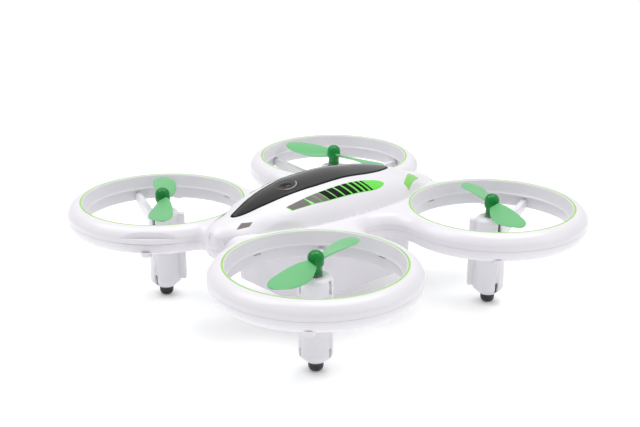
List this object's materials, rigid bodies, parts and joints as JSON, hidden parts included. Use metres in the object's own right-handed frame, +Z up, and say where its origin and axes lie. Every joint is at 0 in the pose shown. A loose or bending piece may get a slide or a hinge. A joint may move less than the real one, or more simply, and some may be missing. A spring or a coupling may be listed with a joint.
{
  "type": "quadcopter drone",
  "caption": "Small indoor quadcopter with ring-shaped propeller guards, motor pods for legs, a domed cover with a tinted canopy, free-spinning propellers and a sliding power switch.",
  "frame": {"origin": "on the ground, below the middle of the craft", "axes": "+Z up along the motor axes, -Y towards the nose, +X towards the craft's left side"},
  "size_m": [0.135, 0.135, 0.0435],
  "materials": {
    "white_shell": "satin",
    "light_guide": "gloss",
    "shaft_steel": "polished",
    "motor_steel": "satin",
    "foot_rubber": "matt",
    "propeller_green": "gloss",
    "screw_steel": "satin",
    "battery_wrap": "satin",
    "canopy_smoke": "gloss",
    "bezel_grey": "satin",
    "lens_black": "gloss",
    "slat_dark": "gloss",
    "panel_green": "gloss",
    "headlight_grey": "gloss",
    "tail_light_green": "gloss",
    "switch_black": "matt",
    "port_black": "matt",
    "board_green": "satin",
    "component_black": "matt"
  },
  "bodies": {
    "airframe": {"battery": "battery_wrap", "battery_door": "white_shell", "battery_door_screws": "screw_steel", "battery_housing": "white_shell", "board_components": "component_black", "camera_bezel": "bezel_grey", "camera_lens": "lens_black", "canopy_window": "canopy_smoke", "charging_port": "port_black", "circuit_board": "board_green", "foot_front_left": "foot_rubber", "foot_front_right": "foot_rubber", "foot_rear_left": "foot_rubber", "foot_rear_right": "foot_rubber", "guard_lower_front_left": "white_shell", "guard_lower_front_right": "white_shell", "guard_lower_rear_left": "white_shell", "guard_lower_rear_right": "white_shell", "guard_screws": "screw_steel", "guard_upper_front_left": "white_shell", "guard_upper_front_right": "white_shell", "guard_upper_rear_left": "white_shell", "guard_upper_rear_right": "white_shell", "headlight_left": "headlight_grey", "headlight_right": "headlight_grey", "light_ring_front_left": "light_guide", "light_ring_front_right": "light_guide", "light_ring_rear_left": "light_guide", "light_ring_rear_right": "light_guide", "lower_frame": "white_shell", "motor_front_left": "motor_steel", "motor_front_right": "motor_steel", "motor_pod_front_left": "white_shell", "motor_pod_front_right": "white_shell", "motor_pod_rear_left": "white_shell", "motor_pod_rear_right": "white_shell", "motor_rear_left": "motor_steel", "motor_rear_right": "motor_steel", "power_switch_body": "switch_black", "side_panel_left": "panel_green", "side_panel_right": "panel_green", "side_slats_left": "slat_dark", "side_slats_right": "slat_dark", "tail_light_left": "tail_light_green", "tail_light_right": "tail_light_green", "top_cover": "white_shell", "upper_frame": "white_shell"},
    "propeller_unit_front_left": {"motor_shaft_front_left": "shaft_steel", "propeller_front_left": "propeller_green"},
    "propeller_unit_front_right": {"motor_shaft_front_right": "shaft_steel", "propeller_front_right": "propeller_green"},
    "propeller_unit_rear_left": {"motor_shaft_rear_left": "shaft_steel", "propeller_rear_left": "propeller_green"},
    "propeller_unit_rear_right": {"motor_shaft_rear_right": "shaft_steel", "propeller_rear_right": "propeller_green"},
    "switch_knob": {"power_switch_knob": "switch_black"}
  },
  "joints": [
    {"name": "propeller_spin_front_left", "type": "hinge", "parent": "airframe", "child": "propeller_unit_front_left", "pos_m": [0.0372, -0.0372, 0.0333], "axis": [0, 0, 1], "continuous": true},
    {"name": "propeller_spin_front_right", "type": "hinge", "parent": "airframe", "child": "propeller_unit_front_right", "pos_m": [-0.0372, -0.0372, 0.0333], "axis": [0, 0, 1], "continuous": true},
    {"name": "propeller_spin_rear_left", "type": "hinge", "parent": "airframe", "child": "propeller_unit_rear_left", "pos_m": [0.0372, 0.0372, 0.0333], "axis": [0, 0, 1], "continuous": true},
    {"name": "propeller_spin_rear_right", "type": "hinge", "parent": "airframe", "child": "propeller_unit_rear_right", "pos_m": [-0.0372, 0.0372, 0.0333], "axis": [0, 0, 1], "continuous": true},
    {"name": "power_switch_slide", "type": "slide", "parent": "airframe", "child": "switch_knob", "axis": [1, 0, 0], "range_m": [0, 0.002]}
  ]
}
